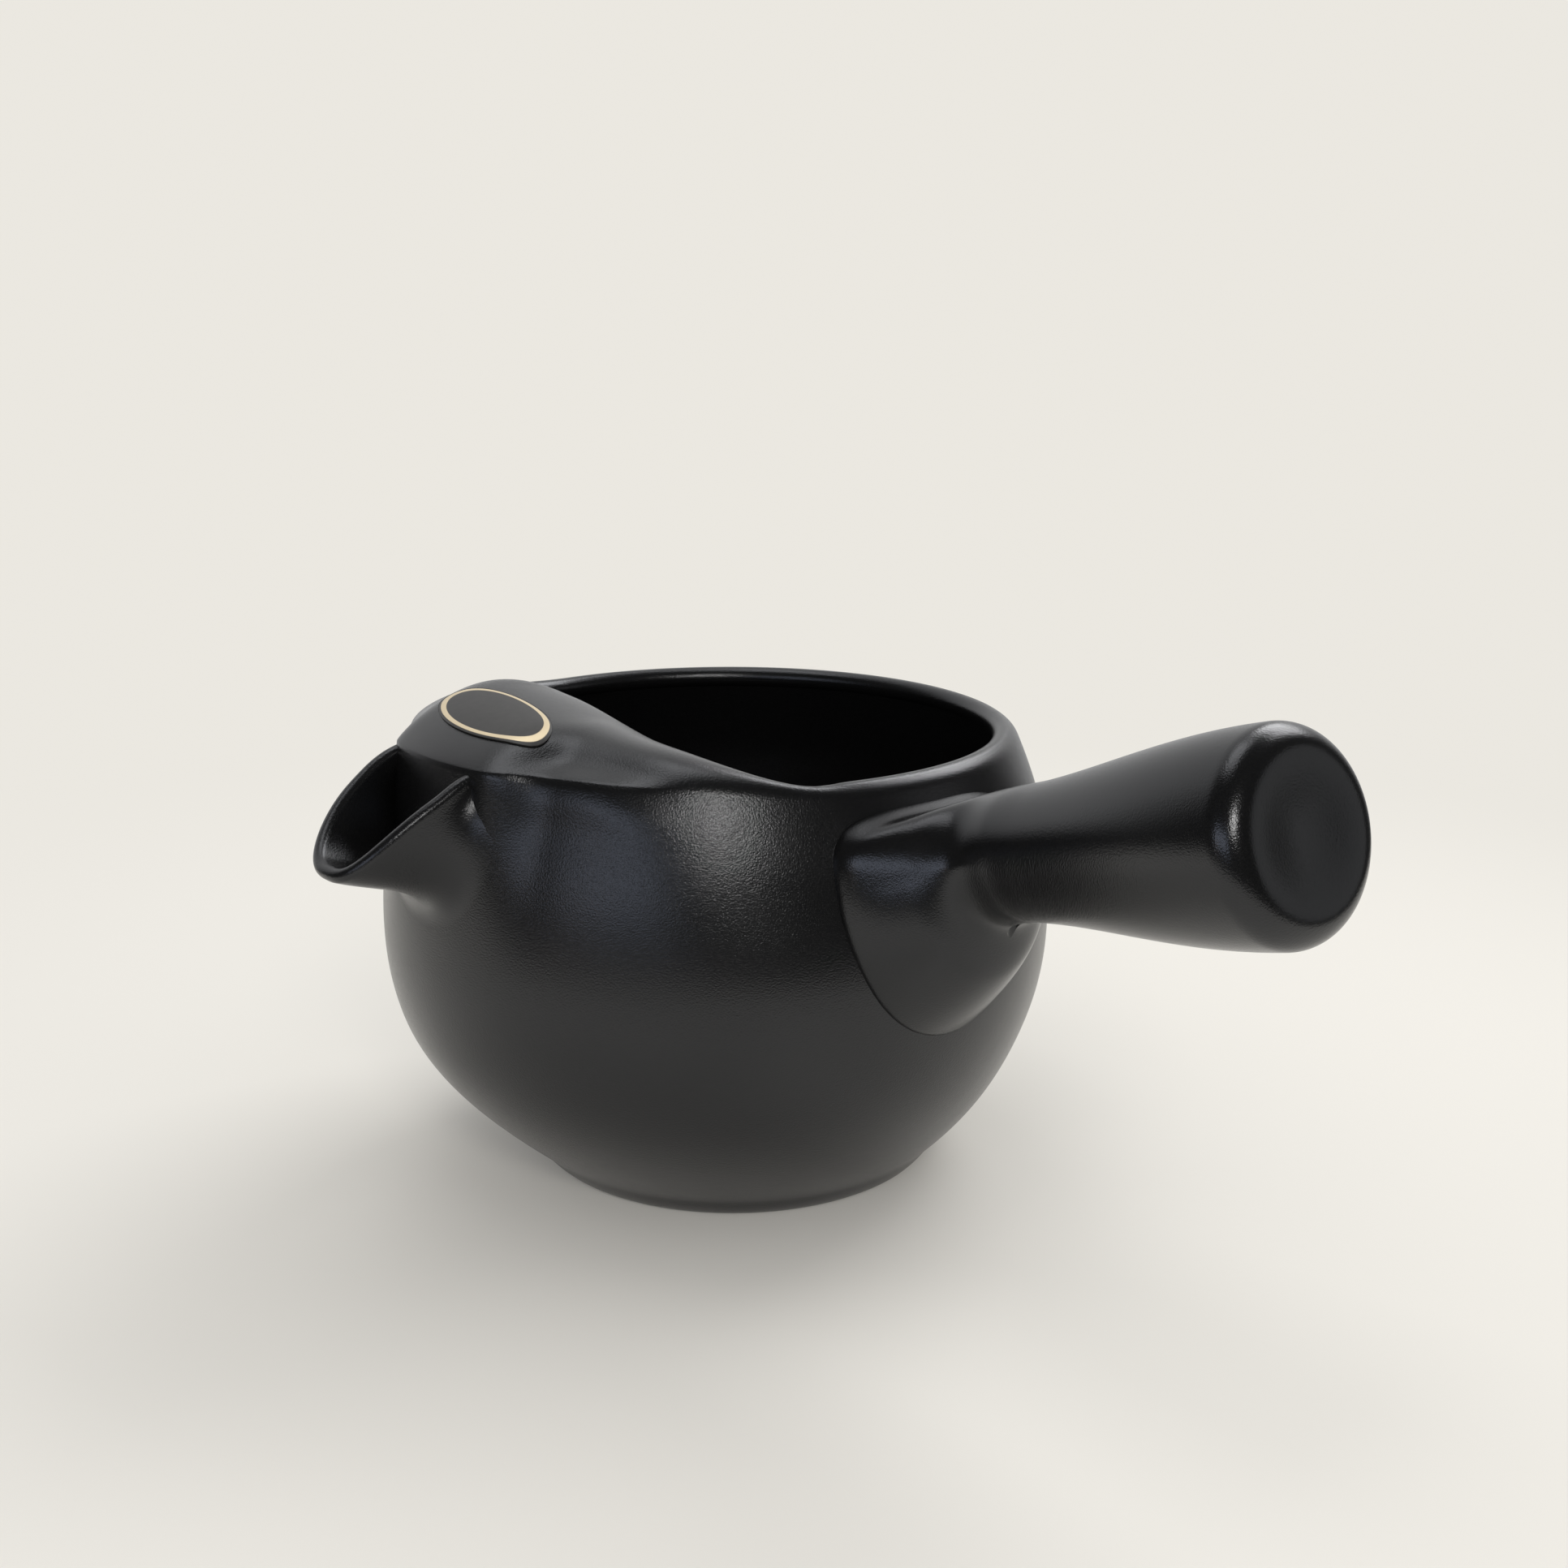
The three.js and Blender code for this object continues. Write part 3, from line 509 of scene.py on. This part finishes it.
def bowl_side_normal(x, height):
    """The way out of the bowl's side"""
    step = 0.1
    across = bowl_side(x + step, height) - bowl_side(x - step, height)
    upward = bowl_side(x, height + step) - bowl_side(x, height - step)
    return unit(np.cross(across, upward))


def pad_point(turn, inset, lift):
    """A point of the leaf-shaped pad, squarer above its widest line than below it"""
    s, c = np.sin(turn), np.cos(turn)
    upper = c > 0
    tall = np.where(upper, pad_top - pad_widest, pad_widest - pad_bottom)
    power = np.where(upper, 2 / pad_squareness, 1)
    x = pad_centre + (pad_half_width - inset) * np.sign(s) * np.abs(s) ** power
    height = pad_widest + (tall - inset) * np.sign(c) * np.abs(c) ** power
    return bowl_side(x, height) + lift * bowl_side_normal(x, height)


def through(points, t):
    """A smooth curve through points, with even shares of t between them"""
    count = len(points) - 1
    place = np.clip(t, 0, 1) * count
    index = np.minimum(place.astype(int), count - 1)
    w = (place - index)[:, None]
    stack = np.stack([2 * points[0] - points[1], *points, 2 * points[-1] - points[-2]])
    rows = np.arange(len(t))
    p0, p1, p2, p3 = (stack[index + k, rows] for k in range(4))
    gaps = (np.linalg.norm(b - a, axis=-1, keepdims=True)
            for a, b in ((p0, p1), (p1, p2), (p2, p3)))
    d0, d1, d2 = (np.maximum(gap, smallest_gap) ** 0.5 for gap in gaps)
    t1 = (p1 - p0) / d0 - (p2 - p0) / (d0 + d1) + (p2 - p1) / d1
    t2 = (p2 - p1) / d1 - (p3 - p1) / (d1 + d2) + (p3 - p2) / d2
    t1, t2 = t1 * d1, t2 * d1
    return (p1 + t1 * w + (-3 * p1 + 3 * p2 - 2 * t1 - t2) * w ** 2
            + (2 * p1 - 2 * p2 + t1 + t2) * w ** 3)


def root_point(turn, t):
    """From the pad's seam over its shoulder and the throat to the neck, by t from 0 to 1"""
    lobe = pad_lobe * np.maximum(-np.cos(turn), 0)
    proud = mix(pad_proud, pad_top_proud, (1 + np.cos(turn)) / 2)
    shoulder = pad_point(turn, pad_round, proud[:, None])
    narrowed = throat_radius - throat_dip * np.maximum(np.cos(turn), 0)
    throat = grip_point(-throat_setback, narrowed, turn)
    middle = (shoulder + throat) / 2 + lobe[:, None] * handle_axis
    seam = [pad_point(turn, pad_edge, -pad_bedding), pad_point(turn, 0, pad_edge)]
    grip = [grip_point(along, grip_radius_at(along), turn)
            for along in (-neck_setback, 0, neck_setback)]
    line = [*seam, shoulder, middle, throat, *grip]
    # the last point only steers the curve, which stops at the one before it
    return through(line, t * (len(line) - 2) / (len(line) - 1))


def handle_form(u, v):
    """Round the axis by u; by v from the seam over the neck and the grip to the end's middle"""
    turn = 2 * pi * u
    root_end, grip_end, corner_end = 0.5, 0.82, 0.91
    root = root_point(turn, v / root_end)
    along = np.clip((v - root_end) / (grip_end - root_end), 0, 1) * (grip_length - end_round)
    grip = grip_point(along, grip_radius_at(along), turn)
    flat = grip_radius - end_round
    swing = np.clip((v - grip_end) / (corner_end - grip_end), 0, 1) * pi / 2
    corner = grip_point(grip_length - end_round + end_round * np.sin(swing),
                        flat + end_round * np.cos(swing), turn)
    inward = np.clip((1 - v) / (1 - corner_end), 0, 1)
    end = grip_point(grip_length - end_dish * (1 - inward ** 2) ** 2, flat * inward, turn)
    w = v[:, None]
    form = np.where(w < root_end, root, np.where(w < grip_end, grip, corner))
    return np.where(w < corner_end, form, end)


handle_crease = 60
handle = sheet("side_handle", across=160, along=200)
lay(handle, handle_form)
close_up(handle, handle_crease)

# The vent: a pin hole through the crease under the neck, which lets the air out in the kiln.
vent_diameter, vent_depth = 1.8, 7
vent_place = grip_point(-throat_setback, throat_radius, np.array([pi]))[0] * mm
bpy.ops.object.select_all(action='DESELECT')
bpy.ops.mesh.primitive_cylinder_add(vertices=24, radius=vent_diameter / 2 * mm,
                                    depth=vent_depth * mm, location=tuple(vent_place))
cut_away(handle, bpy.context.object, handle_crease)

# The grip's glaze has been smoothed a little by the hand that holds it.
coat(handle, glaze_material("grip_glaze", roughness=0.21, speckle=0.35))
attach(handle, "root")
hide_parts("handle")


# The sticker. A stiff oval of dark foil paper with a pale gold ring, printed and punched out
# before it is rubbed down over the crown of the hood on a film of glue.
label_length, label_width = 28, 12.4
label_thickness, label_reach, label_sideways = 0.3, 48.4, -0.8
label_gap, label_edge_fall, label_edge_share = 0.05, 0.12, 0.03
halvings, rounding = 26, 1e-6


def hood_point(x, y, lift):
    """The point of the hood over x, y, raised off it by the lift"""
    turn = np.arctan2(y, -x)
    low, high = np.full_like(x, shoulder_end), np.ones_like(x)
    for _ in range(halvings):
        middle = (low + high) / 2
        outside = meridian(turn, middle)[0] > np.hypot(x, y)
        low, high = np.where(outside, middle, low), np.where(outside, high, middle)
    return bowl_point(turn, low) + lift[:, None] * normal_of(bowl_point, turn, low)


def sticker_form(u, v):
    """Round the oval by u; by v over the face from its middle, down the edge and back beneath"""
    turn = 2 * pi * u
    face_end, edge_end = 0.55, 0.65
    share = np.where(v < face_end, v / face_end,
                     np.where(v < edge_end, 1, np.clip((1 - v) / (1 - edge_end), 0, 1)))
    down = np.clip((v - face_end) / (edge_end - face_end), 0, 1)
    near_edge = np.clip((v - face_end + label_edge_share) / label_edge_share, 0, 1)
    soft = label_edge_fall * near_edge * (v <= face_end + rounding)
    x = share * label_width / 2 * np.cos(turn) - label_reach
    y = share * label_length / 2 * np.sin(turn) + label_sideways
    return hood_point(x, y, label_gap + label_thickness * (1 - down) - soft)


sticker_crease = 40
sticker = sheet("oval_sticker", across=96, along=40)
lay(sticker, sticker_form)
close_up(sticker, sticker_crease, weld=0.005)

# The sticker's print: a dark field with a faint mottle, and the ring inside a dark edge. The ring
# starts and ends at shares of the way from the middle to the edge.
ring_start, ring_end, ring_blur = 0.855, 0.955, 0.01
ring_gold, ring_metal, foil_roughness = (0.72, 0.6, 0.4, 1), 0.35, 0.38
field_dark, field_pale, mottle_scale = (0.012, 0.0115, 0.011, 1), (0.03, 0.028, 0.026, 1), 900
black, white = (0, 0, 0, 1), (1, 1, 1, 1)
flat = 1000
foil = bpy.data.materials.new("sticker_foil")
foil.use_nodes = True
nodes, links = foil.node_tree.nodes, foil.node_tree.links
shader = nodes["Principled BSDF"]
shader.inputs["Roughness"].default_value = foil_roughness
place = nodes.new("ShaderNodeTexCoord")
oval = nodes.new("ShaderNodeMapping")
oval.vector_type = 'TEXTURE'
oval.inputs["Location"].default_value = (-label_reach * mm, label_sideways * mm, 0)
oval.inputs["Scale"].default_value = (label_width / 2 * mm, label_length / 2 * mm, flat)
from_middle = nodes.new("ShaderNodeVectorMath")
from_middle.operation = 'LENGTH'
ring = nodes.new("ShaderNodeValToRGB")
ring.color_ramp.interpolation = 'LINEAR'
stops = ring.color_ramp.elements
stops[0].position, stops[0].color = ring_start, black
stops[1].position, stops[1].color = ring_start + ring_blur, white
stops.new(ring_end).color = white
stops.new(ring_end + ring_blur).color = black
mottle = nodes.new("ShaderNodeTexNoise")
mottle.inputs["Scale"].default_value = mottle_scale
field = nodes.new("ShaderNodeValToRGB")
field.color_ramp.elements[0].color = field_dark
field.color_ramp.elements[1].color = field_pale
metal = nodes.new("ShaderNodeMath")
metal.operation = 'MULTIPLY'
metal.inputs[1].default_value = ring_metal
# a Mix node takes its share in socket 0 and its two colours in 6 and 7, and gives the colour in 2
colour = nodes.new("ShaderNodeMix")
colour.data_type = 'RGBA'
colour.inputs[7].default_value = ring_gold
links.new(place.outputs["Object"], oval.inputs["Vector"])
links.new(place.outputs["Object"], mottle.inputs["Vector"])
links.new(oval.outputs["Vector"], from_middle.inputs[0])
links.new(from_middle.outputs["Value"], ring.inputs["Fac"])
links.new(mottle.outputs["Fac"], field.inputs["Fac"])
links.new(ring.outputs["Color"], colour.inputs[0])
links.new(field.outputs["Color"], colour.inputs[6])
links.new(colour.outputs[2], shader.inputs["Base Color"])
links.new(ring.outputs["Color"], metal.inputs[0])
links.new(metal.outputs["Value"], shader.inputs["Metallic"])
coat(sticker, foil)
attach(sticker, "root")
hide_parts("label")


# The strainer. A thin dome of the same clay, pierced with small holes while it is still damp and
# luted inside the bowl over the passage, where it keeps the leaves back. The piece as built is
# kept; only its glaze, which stays duller inside the pot, is added here.
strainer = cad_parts["strainer"]
strainer_glaze = glaze_material("strainer_glaze", roughness=0.45, speckle=0.3)
for slot in strainer.material_slots:
    slot.material = strainer_glaze


# The studio. The pot stands on pale paper, which fades into a plain pale room with a bright
# backdrop behind it. Soft boxes hang overhead, to the right and behind the camera, a window and a
# small warm lamp are on the left, and a pale wall faces the handle.
pale = (0.83, 0.805, 0.75, 1)
paper_colour, paper_roughness, paper_radius = (0.79, 0.767, 0.716, 1), 0.9, 0.36
fade_start, fade_end, fade_least = 0.12, 0.34, 0.12
bpy.ops.object.select_all(action='DESELECT')
bpy.ops.mesh.primitive_circle_add(vertices=96, radius=paper_radius, fill_type='NGON',
                                  location=(0, 0, 0))
floor = bpy.context.object
floor.name = "pale_paper"
paper = bpy.data.materials.new("pale_paper")
paper.use_nodes = True
nodes, links = paper.node_tree.nodes, paper.node_tree.links
matt = nodes["Principled BSDF"]
matt.inputs["Base Color"].default_value = paper_colour
matt.inputs["Roughness"].default_value = paper_roughness
glow = nodes.new("ShaderNodeEmission")
glow.inputs["Color"].default_value = pale
place = nodes.new("ShaderNodeTexCoord")
from_middle = nodes.new("ShaderNodeVectorMath")
from_middle.operation = 'LENGTH'
fade_out = nodes.new("ShaderNodeMapRange")
fade_out.interpolation_type = 'SMOOTHSTEP'
fade_out.inputs["From Min"].default_value = fade_start
fade_out.inputs["From Max"].default_value = fade_end
fade_out.inputs["To Min"].default_value = fade_least
blend = nodes.new("ShaderNodeMixShader")
links.new(place.outputs["Object"], from_middle.inputs[0])
links.new(from_middle.outputs["Value"], fade_out.inputs["Value"])
links.new(fade_out.outputs["Result"], blend.inputs[0])
links.new(matt.outputs["BSDF"], blend.inputs[1])
links.new(glow.outputs["Emission"], blend.inputs[2])
links.new(blend.outputs["Shader"], nodes["Material Output"].inputs["Surface"])
coat(floor, paper)

# The room: what the camera sees is pale; the glaze mirrors a dim room with the bright backdrop.
backdrop_way, backdrop_start, backdrop_full = (0.45, 0.82, 0.35), 0.4, 0.8
room_mirrored, backdrop_mirrored, room_light, room_seen = 0.05, 0.72, 0.6, 1.0
world = bpy.data.worlds.new("studio")
bpy.context.scene.world = world
world.use_nodes = True
nodes, links = world.node_tree.nodes, world.node_tree.links
ray = nodes.new("ShaderNodeLightPath")
way = nodes.new("ShaderNodeTexCoord")
toward = nodes.new("ShaderNodeVectorMath")
toward.operation = 'DOT_PRODUCT'
toward.inputs[1].default_value = backdrop_way
backdrop = nodes.new("ShaderNodeMapRange")
backdrop.interpolation_type = 'SMOOTHSTEP'
backdrop.inputs["From Min"].default_value = backdrop_start
backdrop.inputs["From Max"].default_value = backdrop_full
backdrop.inputs["To Min"].default_value = room_mirrored
backdrop.inputs["To Max"].default_value = backdrop_mirrored
# a Mix node of numbers takes its share in socket 0 and the two numbers in 2 and 3
level = nodes.new("ShaderNodeMix")
level.inputs[2].default_value = room_light
shown = nodes.new("ShaderNodeMix")
shown.inputs[3].default_value = room_seen
tint = nodes.new("ShaderNodeMix")
tint.data_type = 'RGBA'
tint.inputs[6].default_value = white
tint.inputs[7].default_value = pale
links.new(way.outputs["Generated"], toward.inputs[0])
links.new(toward.outputs["Value"], backdrop.inputs["Value"])
links.new(ray.outputs["Is Glossy Ray"], level.inputs[0])
links.new(backdrop.outputs["Result"], level.inputs[3])
links.new(ray.outputs["Is Camera Ray"], shown.inputs[0])
links.new(level.outputs[0], shown.inputs[2])
links.new(ray.outputs["Is Camera Ray"], tint.inputs[0])
links.new(shown.outputs[0], nodes["Background"].inputs["Strength"])
links.new(tint.outputs[2], nodes["Background"].inputs["Color"])

lamp_distance, lamp_aim = 1.3, Vector((0, 0, 0.06))


def soft_box(name, azimuth, elevation, width, height, brightness, colour=(1, 1, 1), diffuse=0.12):
    """A soft box faced to the pot; its power follows from its size and brightness"""
    a, e = radians(azimuth), radians(elevation)
    light = bpy.data.lights.new(name, 'AREA')
    light.shape = 'RECTANGLE'
    light.size, light.size_y = width, height
    light.energy = brightness * pi * width * height
    light.color = colour
    light.diffuse_factor = diffuse
    lamp = bpy.data.objects.new(name, light)
    bpy.context.collection.objects.link(lamp)
    way = Vector((cos(e) * cos(a), cos(e) * sin(a), sin(e)))
    lamp.location = lamp_aim + lamp_distance * way
    lamp.rotation_euler = (lamp_aim - lamp.location).to_track_quat('-Z', 'Y').to_euler()


soft_box("overhead", azimuth=100, elevation=78, width=0.8, height=0.6, brightness=1.9)
soft_box("right_rear", azimuth=9, elevation=43, width=0.9, height=0.6, brightness=4.5,
         diffuse=0.04)
soft_box("side_wall", azimuth=-47, elevation=8, width=0.7, height=0.6, brightness=0.36)
soft_box("behind_camera", azimuth=-119, elevation=28, width=0.3, height=0.26, brightness=16,
         colour=(1, 0.97, 0.92), diffuse=0.06)
soft_box("window", azimuth=-161, elevation=12, width=0.9, height=0.3, brightness=1.9,
         colour=(0.84, 0.91, 1.08))
soft_box("warm_lamp", azimuth=-175, elevation=4, width=0.1, height=0.1, brightness=2,
         colour=(1, 0.72, 0.5))


# The camera. It stands at the photograph's angle, a little above the pot on the near side, and
# looks down at it and slightly past its middle.
looks_down, looks_round, looks_past = 14.16, -37, 1.37
lens = bpy.data.cameras.new("camera")
lens.lens = 48.628
lens.sensor_width = 36
camera = bpy.data.objects.new("camera", lens)
bpy.context.collection.objects.link(camera)
camera.location = (-0.21665, -0.28751, 0.1566)
camera.rotation_euler = (radians(90 - looks_down), 0, radians(looks_round - looks_past))
bpy.context.scene.camera = camera
bpy.context.scene.view_settings.view_transform = 'Standard'
